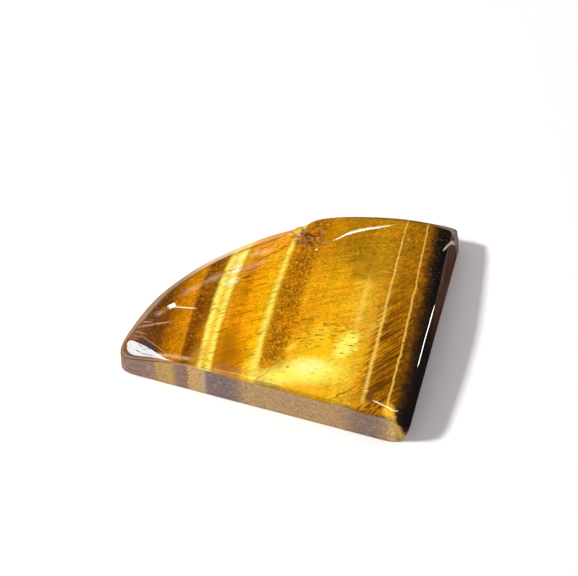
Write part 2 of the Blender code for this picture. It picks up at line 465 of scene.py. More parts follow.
    def rings(self) -> list[np.ndarray]:
        """Closed rings of points over the skin.

        Returns:
            The rings, from the rim of the base up to the top.
        """
        angles = self.meridian_angles()
        starts, ways = self.level_rays(angles, self.pivot_height)
        pivots = self.first_crossing(self.sides, starts, ways) - ways * self.pivot_inset
        floor_starts, _ = self.level_rays(angles, 0.0)
        rings = [self.first_crossing(lambda p: self.sides(p) - self.base_blend, floor_starts, ways)]
        rims = self.rim_angles(pivots, ways)
        steps = [np.full(self.meridians, angle) for angle in self.base_angles]
        offsets = (*(-step for step in reversed(self.rim_steps)), 0.0, *self.rim_steps)
        steps += [rims + offset for offset in offsets]
        above = rims + offsets[-1]
        shares = np.linspace(0.0, 1.0, self.upper_rings + 1, endpoint=False)[1:]
        steps += [above + (90.0 - above) * share for share in shares]
        for step in steps:
            rings.append(self.first_crossing(self.depth, pivots, self.lifted(ways, step)))
        upright = np.tile(np.array(Z_AXIS), (self.meridians, 1))
        for share in np.linspace(1.0, 0.0, self.top_rings, endpoint=False):
            below = starts + (pivots - starts) * share
            rings.append(self.first_crossing(self.depth, below, upright))
        return rings

    def mesh(self) -> bpy.types.Mesh:
        """Meshes the stone.

        Returns:
            Closed smooth mesh in metres, centred on its base.
        """
        rings = self.rings()
        count = self.meridians
        base_middle = np.array(((self.dome.centre[0], self.dome.centre[1], 0.0),))
        top_middle = self.first_crossing(self.depth, base_middle + Z_AXIS, np.array((Z_AXIS,)))
        corners = np.vstack([*rings, base_middle, top_middle])
        corners = (corners - np.array((MIDDLE_MM[0], MIDDLE_MM[1], 0.0))) * MM
        base, top = len(corners) - 2, len(corners) - 1
        last = (len(rings) - 1) * count
        faces: list[tuple[int, ...]] = []
        for j in range(count):
            k = (j + 1) % count
            faces.append((base, k, j))
            faces.append((top, last + j, last + k))
            for low in range(0, last, count):
                high = low + count
                faces.append((low + j, low + k, high + k, high + j))
        mesh = bpy.data.meshes.new("stone_body")
        mesh.from_pydata(corners.tolist(), [], faces)
        mesh.validate()
        mesh.shade_smooth()
        return mesh

    def build(self, finish: "TigersEye") -> bpy.types.Object:
        """Makes the stone, dresses it and sets it on the frame.

        Args:
            finish: Finish of the whole stone.

        Returns:
            The dressed piece.
        """
        piece = placed("stone_body", self.mesh())
        piece.data.materials.append(finish.material())
        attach(piece, "root")
        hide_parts("stone")
        return piece


Socket = bpy.types.NodeSocket
Plug = Socket | float | Point | Colour
Names = tuple[str, ...]


class Bench:
    """Short calls that lay nodes in one shader tree and join them."""

    def __init__(self, tree: bpy.types.NodeTree) -> None:
        """Keeps the tree that the nodes go in."""
        self.tree = tree

    def plug(self, socket: Socket, value: Plug) -> None:
        """Links a socket into an input, or sets the input's own value.

        Args:
            socket: The input.
            value: Socket to link, or value to set.
        """
        if isinstance(value, Socket):
            self.tree.links.new(value, socket)
        else:
            socket.default_value = value

    def node(
        self, kind: str, *values: Plug, named: dict[str, Plug] | None = None, **settings: object
    ) -> bpy.types.Node:
        """Adds a node.

        Args:
            kind: Blender's name of the node type.
            values: Its first inputs, in order.
            named: Other inputs by name.
            settings: The node's own settings by name.

        Returns:
            The new node.
        """
        made = self.tree.nodes.new(kind)
        for name, value in settings.items():
            setattr(made, name, value)
        for socket, value in zip(made.inputs, values):
            self.plug(socket, value)
        for name, value in (named or {}).items():
            self.plug(made.inputs[name], value)
        return made

    def maths(self, operation: str, *values: Plug) -> Socket:
        """Value of a Math node with these inputs."""
        return self.node("ShaderNodeMath", *values, operation=operation).outputs[0]

    def vectors(self, operation: str, *values: Plug) -> Socket:
        """Vector of a Vector Math node with these inputs."""
        return self.node("ShaderNodeVectorMath", *values, operation=operation).outputs[0]

    def packed(self, *parts: Plug) -> Socket:
        """Vector of these parts, with nothing for a part left out."""
        return self.node("ShaderNodeCombineXYZ", *parts).outputs[0]

    def part(self, vector: Plug, axis: Point) -> Socket:
        """Part of a vector along an axis."""
        return self.vectors("DOT_PRODUCT", vector, axis).node.outputs["Value"]

    def product(self, *values: Plug) -> Plug:
        """Product of all the values."""
        return reduce(lambda first, second: self.maths("MULTIPLY", first, second), values)

    def centred(self, value: Plug) -> Socket:
        """Value about a half brought about zero."""
        return self.maths("SUBTRACT", value, 0.5)

    def eased(self, value: Plug, low: Plug, high: Plug, start: Plug = 0.0, end: Plug = 1.0) -> Socket:
        """Value eased from start to end as it goes from low to high."""
        ends = (value, low, high, start, end)
        return self.node("ShaderNodeMapRange", *ends, interpolation_type="SMOOTHSTEP").outputs[0]

    def between(self, value: Plug, low: float, high: float, start: Plug, end: Plug) -> Socket:
        """Value mapped in a straight line from low..high to start..end, and held at the ends."""
        ends = (value, low, high, start, end)
        return self.node("ShaderNodeMapRange", *ends, interpolation_type="LINEAR", clamp=True).outputs[0]

    def window(self, value: Plug, empty: float, full: float, last: float, gone: float) -> Plug:
        """Eases from 0 to 1 as a value goes from empty to full, and back to 0 from last to gone."""
        return self.product(self.eased(value, empty, full), self.eased(value, gone, last))

    def mix(self, share: Plug, first: Plug, second: Plug, blend: str = "MIX") -> Socket:
        """Colour mixed from two.

        Args:
            share: Share of the second colour.
            first: First colour.
            second: Second colour.
            blend: Way in which they mix.

        Returns:
            The mixed colour.
        """
        made = self.node("ShaderNodeMix", data_type="RGBA", blend_type=blend, clamp_factor=True)
        for at, value in (("Factor", share), (6, first), (7, second)):
            self.plug(made.inputs[at], value)
        return made.outputs[2]

    def shaded(
        self, colour: Plug, value: Plug, low: float, high: float, dark: float, light: float
    ) -> Socket:
        """Colour times dark where a value is low, and times light where it is high."""
        grey = self.node("ShaderNodeCombineColor", *(self.between(value, low, high, dark, light),) * 3)
        return self.mix(1.0, colour, grey.outputs[0], "MULTIPLY")

    def noise(self, place: Plug, scale: float, detail: float = 2.0, rough: float = 0.5) -> bpy.types.Node:
        """Noise texture at a place, with waves per unit, finer layers and their strength."""
        named = {"Vector": place, "Scale": scale, "Detail": detail, "Roughness": rough}
        return self.node("ShaderNodeTexNoise", named=named)

    def level(self, place: Plug, scale: float, detail: float = 2.0, rough: float = 0.5) -> Socket:
        """Value of a noise at a place."""
        return self.noise(place, scale, detail, rough).outputs[0]

    def cells(self, place: Plug, scale: float) -> bpy.types.Node:
        """Cell texture at a place."""
        return self.node("ShaderNodeTexVoronoi", named={"Vector": place, "Scale": scale})

    def bump(self, height: Plug, strength: float, distance: float) -> Socket:
        """Normal of the skin raised by a height."""
        named = {"Strength": strength, "Distance": distance, "Height": height}
        return self.node("ShaderNodeBump", named=named).outputs[0]

    def turned(self, place: Plug, azimuth: Plug) -> Socket:
        """Vector turned so that its first part runs along an azimuth in degrees."""
        named = {"Vector": place, "Angle": self.product(azimuth, -math.pi / 180.0)}
        return self.node("ShaderNodeVectorRotate", named=named, rotation_type="Z_AXIS").outputs[0]

    def group(self, tree: bpy.types.NodeTree, **inputs: Plug) -> Socket:
        """Places a node group, fills its inputs and gives its output."""
        named = {name.replace("_", " ").title(): value for name, value in inputs.items()}
        return self.node("ShaderNodeGroup", named=named, node_tree=tree).outputs[0]


class GroupBench(Bench):
    """Bench on a new shader node group with named inputs and one value output."""

    def __init__(self, name: str, output: str, vectors: Names, values: Names = ()) -> None:
        """Starts the group.

        Args:
            name: Name of the group.
            output: Name of the value that it puts out.
            vectors: Names of its vector inputs.
            values: Names of its value inputs.
        """
        super().__init__(bpy.data.node_groups.new(name, "ShaderNodeTree"))
        kinds = [(title, "Vector") for title in vectors] + [(title, "Float") for title in values]
        for title, kind in kinds:
            self.tree.interface.new_socket(title, in_out="INPUT", socket_type=f"NodeSocket{kind}")
        self.tree.interface.new_socket(output, in_out="OUTPUT", socket_type="NodeSocketFloat")
        self.given = self.node("NodeGroupInput").outputs

    def close(self, value: Plug) -> bpy.types.NodeTree:
        """Joins a value to the group's output and gives the group."""
        self.node("NodeGroupOutput", value)
        return self.tree


def band_group() -> bpy.types.NodeTree:
    """Makes the group for the place across the bands, which bend and fan out a little.

    Returns:
        The group, in millimetres.
    """
    bench = GroupBench("band_place", "Across", ("Place",))
    x, y = (bench.part(bench.given["Place"], axis) for axis in (X_AXIS, Y_AXIS))
    along = bench.maths("ADD", y, 4.0)
    spread = bench.maths("MULTIPLY_ADD", bench.maths("MULTIPLY_ADD", along, 0.00042, 0.0022), along, 1.0)
    drift = bench.product(bench.maths("MULTIPLY_ADD", along, -0.00295, 0.0544), along)
    return bench.close(bench.maths("MULTIPLY_ADD", x, spread, drift))


def fibre_group() -> bpy.types.NodeTree:
    """Makes the group for fine fibres that lie along one azimuth.

    Returns:
        The group, with values about a half.
    """
    bench = GroupBench("fibres", "Fibre", ("Place",), ("Azimuth", "Length", "Width"))
    turned = bench.turned(bench.given["Place"], bench.given["Azimuth"])
    sizes = bench.packed(*(bench.given[name] for name in ("Length", "Width", "Width")))
    return bench.close(bench.level(bench.vectors("DIVIDE", turned, sizes), 1.0, 3.0, 0.55))


class MarkShape(Enum):
    """Shapes that a natural mark may have."""

    PATCH = "patch"
    LINE = "hairline"


def mark_group(shape: MarkShape) -> bpy.types.NodeTree:
    """Makes the group for one mark.

    Args:
        shape: A soft-edged oval patch, or a thin line that tapers towards its ends.

    Returns:
        The group, with the mark as a mask.
    """
    sizes = ("Azimuth", "Half Length", "Half Width", "Core")
    bench = GroupBench(shape.value, "Mask", ("Place", "Middle"), sizes)
    given = bench.given
    turned = bench.turned(bench.vectors("SUBTRACT", given["Place"], given["Middle"]), given["Azimuth"])
    along = bench.maths("DIVIDE", bench.part(turned, X_AXIS), given["Half Length"])
    across = bench.maths("DIVIDE", bench.part(turned, Y_AXIS), given["Half Width"])
    if shape is MarkShape.PATCH:
        reach = bench.vectors("LENGTH", bench.packed(along, across)).node.outputs["Value"]
        return bench.close(bench.eased(reach, 1.0, given["Core"]))
    edge = bench.eased(bench.maths("ABSOLUTE", across), 1.0, given["Core"])
    return bench.close(bench.product(edge, bench.eased(bench.maths("ABSOLUTE", along), 1.0, 0.5)))


def thread_group() -> bpy.types.NodeTree:
    """Makes the group for a thread band of changing width at one place across the bands.

    Returns:
        The group, with the thread as a mask.
    """
    bench = GroupBench("thread", "Mask", (), ("Across", "At", "Half Width", "Core"))
    apart = bench.maths("ABSOLUTE", bench.maths("SUBTRACT", bench.given["Across"], bench.given["At"]))
    share = bench.maths("DIVIDE", apart, bench.given["Half Width"])
    return bench.close(bench.eased(share, 1.0, bench.given["Core"]))


@dataclass(frozen=True)
class Mark:
    """Natural mark in the stone: its shape, place in millimetres, direction, half sizes and colour.

    Its strength is the share of the colour that is laid, its core is how much of its reach stays whole,
    and ragged is how far its edge is frayed, in millimetres.
    """

    name: str
    shape: MarkShape
    middle: Pair
    azimuth: float
    half_length: float
    half_width: float
    colour: Colour = (0.0, 0.0, 0.0, 1.0)
    strength: float = 0.8
    core: float = 0.0
    ragged: float = 0.15


@dataclass(frozen=True)
class Thread:
    """Bright thread band: place across the bands, half width at back and front, colour, softness and ends."""

    name: str
    at: float
    half_back: float
    half_front: float
    colour: Colour
    strength: float = 1.0
    core: float = 0.35
    from_y: float = -14.0
    to_y: float = 14.0
    waver: float = 0.10


@dataclass(frozen=True)
class FibreLayer:
    """Layer of fibres: direction, length and width in millimetres, and how far it darkens and lightens."""

    azimuth: float
    length: float
    width: float
    dark: float
    light: float


Zones = tuple[tuple[float, Colour], ...]

# Front half of the top, from the tip to the dark edge, by place across the bands in millimetres.
TOP_ZONES: Zones = (
    (-13.6, tint(118, 84, 60)),
    (-12.9, tint(100, 66, 38)),
    (-12.2, tint(94, 56, 20)),
    (-11.6, tint(92, 52, 8)),
    (-11.0, tint(136, 78, 8)),
    (-10.5, tint(166, 100, 4)),
    (-10.0, tint(196, 124, 4)),
    (-9.3, tint(212, 138, 6)),
    (-8.95, tint(196, 122, 8)),
    (-8.65, tint(122, 69, 5)),
    (-8.1, tint(118, 65, 5)),
    (-7.4, tint(150, 92, 6)),
    (-5.3, tint(228, 156, 14)),
    (-4.6, tint(220, 138, 3)),
    (-3.6, tint(250, 164, 3)),
    (-2.6, tint(255, 182, 6)),
    (-1.9, tint(255, 190, 18)),
    (-1.0, tint(206, 140, 10)),
    (-0.6, tint(188, 124, 8)),
    (0.1, tint(178, 114, 4)),
    (0.8, tint(186, 120, 5)),
    (1.5, tint(240, 168, 16)),
    (3.0, tint(244, 178, 18)),
    (4.4, tint(250, 182, 14)),
    (5.4, tint(248, 180, 16)),
    (6.6, tint(254, 200, 42)),
    (7.6, tint(252, 196, 46)),
    (8.6, tint(238, 170, 26)),
    (9.8, tint(196, 132, 12)),
    (10.8, tint(156, 98, 5)),
    (11.7, tint(176, 114, 8)),
)

# Dark edge at the right of the top, from the gold outwards.
RIGHT_ZONES: Zones = (
    (11.6, tint(160, 102, 7)),
    (12.1, tint(138, 86, 8)),
    (12.6, tint(104, 62, 8)),
    (13.1, tint(60, 38, 14)),
    (13.6, tint(32, 22, 16)),
    (14.4, tint(22, 16, 15)),
)

# Back half of the top, with its own bands, painted darker where less light comes back from the fibres.
BACK_ZONES: Zones = (
    (-10.0, tint(176, 112, 54)),
    (-8.8, tint(168, 106, 60)),
    (-7.6, tint(156, 100, 44)),
    (-6.4, tint(240, 190, 70)),
    (-5.3, tint(244, 172, 60)),
    (-3.5, tint(242, 166, 56)),
    (-2.2, tint(242, 170, 30)),
    (-1.2, tint(206, 134, 14)),
    (-0.4, tint(160, 98, 8)),
    (1.2, tint(182, 116, 8)),
    (2.2, tint(198, 134, 8)),
    (4.4, tint(184, 128, 8)),
    (6.2, tint(190, 132, 8)),
    (7.6, tint(204, 148, 10)),
    (9.0, tint(198, 138, 14)),
    (10.2, tint(172, 116, 6)),
    (11.2, tint(182, 120, 6)),
    (12.0, tint(156, 98, 10)),
    (12.6, tint(104, 64, 10)),
    (13.2, tint(34, 24, 16)),
    (13.9, tint(20, 15, 13)),
)

# Shards of the broken spot, each picked by chance from 0 to 1.
SHARDS: Zones = (
    (0.0, tint(98, 52, 4)),
    (0.22, tint(150, 86, 8)),
    (0.40, tint(126, 68, 6)),
    (0.55, tint(206, 132, 30)),
    (0.68, tint(140, 82, 6)),
    (0.80, tint(240, 184, 124)),
    (0.92, tint(186, 118, 12)),
    (1.0, tint(250, 206, 150)),
)

# Upright sides, greyer than the polished top.
WALL_ZONES: Zones = (
    (-14.5, tint(146, 120, 109)),
    (-11.9, tint(155, 127, 116)),
    (-11.1, tint(194, 160, 101)),
    (-9.7, tint(199, 164, 98)),
    (-9.3, tint(157, 127, 109)),
    (-8.2, tint(146, 116, 105)),
    (-7.9, tint(208, 168, 109)),
    (-6.9, tint(208, 171, 113)),
    (-6.4, tint(197, 175, 141)),
    (-6.1, tint(137, 118, 116)),
    (-4.2, tint(133, 116, 116)),
    (-3.0, tint(148, 127, 109)),
    (-2.2, tint(190, 157, 111)),
    (2.0, tint(188, 155, 113)),
    (6.0, tint(190, 157, 109)),
    (7.6, tint(186, 151, 113)),
    (9.0, tint(150, 124, 110)),
    (10.8, tint(138, 119, 111)),
    (12.0, tint(176, 146, 114)),
    (12.9, tint(242, 203, 131)),
    (13.4, tint(154, 110, 64)),
    (13.9, tint(48, 32, 28)),
    (14.5, tint(44, 29, 26)),
    (15.0, tint(70, 50, 44)),
)

# Ground rims between the top and the sides; the pale beige of the left rims is partly painted reflection of
# the bright surroundings at a grazing view.
RIM_ZONES: Zones = (
    (-14.0, tint(158, 130, 108)),
    (-11.0, tint(178, 148, 118)),
    (-8.0, tint(255, 226, 194)),
    (-6.4, tint(252, 210, 140)),
    (-4.0, tint(226, 164, 96)),
    (-1.6, tint(224, 176, 96)),
    (0.0, tint(140, 110, 70)),
    (2.0, tint(150, 100, 22)),
    (5.0, tint(140, 92, 10)),
    (8.0, tint(136, 90, 8)),
    (11.0, tint(128, 86, 14)),
    (12.4, tint(110, 80, 44)),
    (13.2, tint(44, 30, 24)),
    (14.4, tint(34, 24, 22)),
    (15.0, tint(66, 47, 42)),
)

# Bright thread bands, in the order in which they are laid.
THREADS: tuple[Thread, ...] = (
    Thread("first_ground", -6.42, 1.10, 0.84, tint(250, 212, 62), 1.0, 0.45),
    Thread("first_left", -6.86, 0.52, 0.42, tint(255, 240, 112), 1.0, 0.0),
    Thread("first_right", -5.98, 0.54, 0.42, tint(255, 238, 104), 1.0, 0.0),
    Thread("second", -1.52, 0.38, 0.52, tint(255, 236, 92), 1.0, 0.05),
    Thread("amber_edge", -9.02, 0.08, 0.08, tint(232, 156, 50), 0.7, 0.1, -12.6, -4.0, 0.04),
    Thread("short", 7.10, 0.30, 0.50, tint(253, 206, 84), 0.80, 0.0, -4.6, 2.6),
    Thread("third", 9.42, 0.12, 0.36, tint(255, 212, 96), 1.0, 0.0, -12.2, 14.0, 0.16),
    Thread("fourth", 11.80, 0.14, 0.19, tint(255, 208, 84), 1.0, 0.0, -12.6, 14.0, 0.20),
)

# Layers of fibres over the whole stone, from long to short.
FIBRES: tuple[FibreLayer, ...] = (
    FibreLayer(30.0, 5.0, 0.42, 0.78, 1.16),
    FibreLayer(32.0, 1.7, 0.10, 0.80, 1.14),
    FibreLayer(12.0, 0.30, 0.16, 0.82, 1.16),
)

PATCH = MarkShape.PATCH
LINE = MarkShape.LINE

# Chatoyant light painted into the colour: bright patches of painted sheen where the fibres throw light back,
# laid over one darker shade patch, lowest first.
GLOWS: tuple[Mark, ...] = (
    Mark("shade", PATCH, (-3.9, -10.4), 10.0, 2.6, 4.4, tint(160, 98, 5), 0.85),
    Mark("warm_high", PATCH, (-3.1, -2.2), 60.0, 1.7, 1.0, tint(255, 180, 4), 0.60, 0.0, 0.5),
    Mark("glow_halo", PATCH, (5.0, -8.0), 26.0, 5.2, 3.4, tint(255, 204, 24), 0.85, 0.0, 0.5),
    Mark("glow_rim", PATCH, (2.2, -11.4), 10.0, 5.0, 1.4, tint(255, 242, 96), 0.92, 0.2, 0.35),
    Mark("glow", PATCH, (4.4, -9.9), 14.0, 4.4, 1.9, tint(253, 244, 96), 0.95, 0.25, 0.7),
    Mark("glow_core", PATCH, (4.0, -9.8), 20.0, 2.7, 1.2, tint(248, 250, 150), 0.85, 0.1, 0.7),
    Mark("glow_lobe", PATCH, (1.9, -7.9), 62.0, 1.3, 0.5, tint(255, 224, 60), 0.75, 0.0, 0.4),
    Mark("glow_mid", PATCH, (4.2, -5.6), 60.0, 2.4, 1.7, tint(255, 216, 44), 0.75, 0.0, 0.8),
    Mark("glow_side", PATCH, (8.9, -3.0), 78.0, 3.0, 0.8, tint(255, 206, 72), 0.60, 0.0, 0.4),
    Mark("glow_far", PATCH, (6.8, -6.3), 70.0, 2.4, 1.2, tint(255, 246, 100), 1.0, 0.4, 0.5),
    Mark("glow_foot", PATCH, (-1.3, -10.7), 80.0, 2.2, 0.9, tint(255, 230, 70), 0.60, 0.1, 0.3),
    Mark("glow_front", PATCH, (4.4, -12.0), 4.0, 3.0, 0.9, tint(250, 190, 40), 0.70, 0.2, 0.3),
)

# Clouds, streaks and cracks in the stone, and one painted highlight at the left tip, lowest first.
MARKS: tuple[Mark, ...] = (
    Mark("green_cast", PATCH, (6.2, 3.6), -60.0, 4.0, 2.3, tint(150, 118, 10), 0.55, 0.0, 0.8),
    Mark("green_deep", PATCH, (5.6, 1.9), 10.0, 1.1, 0.7, tint(104, 84, 10), 0.45),
    Mark("dusk_tip", PATCH, (-11.9, -7.6), -34.0, 2.3, 1.1, tint(82, 42, 26), 0.75),
    Mark("dusty_rim", PATCH, (-3.2, -11.9), 0.0, 2.6, 0.55, tint(156, 108, 62), 0.75, 0.0, 0.3),
    Mark("dusk_low", PATCH, (-11.6, -10.2), 20.0, 1.4, 0.9, tint(98, 54, 22), 0.50),
    Mark("tip_dark", PATCH, (-12.3, -11.6), -10.0, 2.0, 1.3, tint(60, 52, 56), 0.85, 0.5),
    Mark("rose_streak", LINE, (-11.9, -8.7), 21.0, 1.9, 0.16, tint(224, 160, 130), 0.75),
    Mark("rose_short", LINE, (-12.7, -8.6), 5.0, 0.6, 0.12, tint(214, 148, 126), 0.65),
    Mark("rose_third", LINE, (-13.0, -9.9), -4.0, 0.7, 0.10, tint(200, 150, 130), 0.60),
    Mark("rose_fourth", LINE, (-13.1, -10.35), -7.0, 0.6, 0.08, tint(190, 146, 128), 0.55),
    Mark("pale_edge", LINE, (-11.3, -10.9), -24.0, 1.9, 0.07, tint(222, 176, 130), 0.60),
    Mark("mauve_first", PATCH, (-10.1, -4.5), 58.0, 0.8, 0.45, tint(158, 128, 124), 0.70, 0.0, 0.5),
    Mark("mauve_second", PATCH, (-8.0, -2.3), 48.0, 1.9, 0.75, tint(196, 156, 112), 0.75, 0.0, 0.6),
    Mark("mauve_third", PATCH, (-9.5, -3.9), 46.0, 1.2, 0.5, tint(224, 178, 122), 0.60, 0.0, 0.5),
    Mark("haze_low", PATCH, (-5.0, -0.4), 44.0, 2.0, 0.8, tint(206, 142, 74), 0.75, 0.1, 0.5),
    Mark("pale_high", PATCH, (-6.2, 1.1), 75.0, 1.3, 0.55, tint(253, 248, 150), 0.85, 0.1, 0.4),
    Mark("pale_first", PATCH, (-6.15, -0.7), 70.0, 1.1, 0.65, tint(252, 248, 196), 0.92, 0.2, 0.5),
    Mark("pale_second", PATCH, (-6.15, -2.4), 50.0, 1.1, 0.5, tint(242, 250, 190), 0.88, 0.2, 0.5),
    Mark("rose_high", PATCH, (-4.4, 2.0), 36.0, 1.9, 0.7, tint(252, 190, 112), 0.80, 0.0, 0.6),
    Mark("rose_low", PATCH, (-4.3, 0.4), 38.0, 1.5, 0.4, tint(238, 176, 120), 0.65, 0.0, 0.5),
    Mark("crack_long", LINE, (-6.9, -1.2), 33.0, 2.9, 0.10, tint(150, 96, 44), 0.75, 0.0, 0.5),
    Mark("crack_high", LINE, (-3.3, 2.0), 52.0, 2.7, 0.10, tint(96, 48, 16), 0.90, 0.0, 0.35),
    Mark("crack_mid", LINE, (-4.8, -1.5), 31.0, 0.7, 0.17, tint(70, 36, 14), 0.90, 0.0, 0.2),
    Mark("crack_rose", LINE, (-4.7, -0.5), 36.0, 1.1, 0.10, tint(150, 84, 56), 0.80, 0.0, 0.3),
    Mark("streak_first", LINE, (-2.1, -5.9), 30.0, 1.3, 0.06, tint(130, 70, 8), 0.85),
    Mark("streak_second", LINE, (-2.4, -8.3), 39.0, 0.9, 0.06, tint(140, 76, 8), 0.80),
    Mark("streak_third", LINE, (0.1, -11.7), 50.0, 1.2, 0.06, tint(150, 84, 14), 0.85),
    Mark("streak_fourth", LINE, (8.0, -11.3), 46.0, 1.8, 0.09, tint(106, 58, 10), 0.85),
    Mark("streak_fifth", LINE, (-1.6, -7.5), 37.0, 0.4, 0.08, tint(90, 48, 8), 0.90),
    Mark("red_corner", PATCH, (10.5, -11.1), -30.0, 1.2, 0.7, tint(122, 66, 34), 0.65),
    Mark("pale_corner", PATCH, (-2.3, 5.7), 58.0, 0.9, 0.5, tint(250, 222, 120), 0.85, 0.3, 0.6),
    # Painted highlight: the fading tail of the large highlight at the left tip, along the front rim.
    Mark("painted_lens_glint_tail", LINE, (-8.9, -11.8), 2.0, 2.3, 0.30, tint(226, 184, 138), 0.70),
    Mark("dark_foot", LINE, (-8.4, -12.3), 2.0, 1.0, 0.30, tint(112, 62, 16), 0.80),
    Mark("shard_green", PATCH, (0.9, 5.0), 0.0, 1.2, 0.3, tint(140, 136, 92), 0.65, 0.0, 0.5),
    Mark("foot_gold", PATCH, (12.65, -11.9), -70.0, 1.3, 0.8, tint(255, 200, 52), 0.95, 0.3, 0.4),
    Mark("low_thread", PATCH, (-6.6, -11.3), 80.0, 2.4, 1.3, tint(206, 152, 46), 0.60),
)

# Pale bands at the rear right rim and corner, and painted highlights on the polish, lowest first.
SKIN_MARKS: tuple[Mark, ...] = (
    Mark("rim_frost", PATCH, (11.7, 11.22), -9.0, 1.6, 0.45, tint(152, 134, 118), 0.80, 0.4, 0.1),
    Mark("corner_veil", PATCH, (13.0, 10.8), -45.0, 1.1, 0.50, tint(176, 160, 150), 0.75, 0.3, 0.1),
    # Painted highlight: a short bright streak across the rear right rim.
    Mark("painted_rear_corner_glint", LINE, (12.92, 9.1), 75.0, 1.45, 0.12, tint(252, 238, 230), 0.95, 0.2, 0.05),
    Mark("corner_frost", PATCH, (13.3, 11.3), 60.0, 0.8, 0.45, tint(168, 148, 136), 0.75, 0.2, 0.2),
    # Painted highlights: the tail of the glint on the left bevel, and the thin curve of light on the front
    # right corner.
    Mark("painted_comma_glint", LINE, (-9.75, -6.31), 6.4, 1.6, 0.11, tint(255, 238, 210), 0.90, 0.2, 0.04),
    Mark("painted_front_corner_glint", LINE, (11.55, -11.27), -11.8, 0.92, 0.10, tint(255, 232, 200), 0.90, 0.2, 0.04),
)

# Fine scratches that dull the polish at the tip.
SCRATCHES: tuple[Mark, ...] = tuple(
    Mark("scratch", LINE, middle, azimuth, half_length, 0.05, strength=0.85, core=0.2, ragged=0.12)
    for middle, azimuth, half_length in (
        ((-11.85, -11.50), 8.0, 0.60),
        ((-12.60, -11.75), -20.0, 0.35),
        ((-11.60, -11.95), -4.0, 0.80),
        ((-12.50, -11.25), -32.0, 0.40),
    )
)
# Broken spot at the step, and the wider scar around it, which takes less polish.
FRACTURE = Mark("fracture", PATCH, (-0.65, 5.45), 60.0, 2.3, 1.35, strength=0.92, core=0.60, ragged=0.55)
SCAR = Mark("scar", PATCH, (-0.7, 5.6), 60.0, 4.2, 2.6, core=0.55, ragged=0.0)


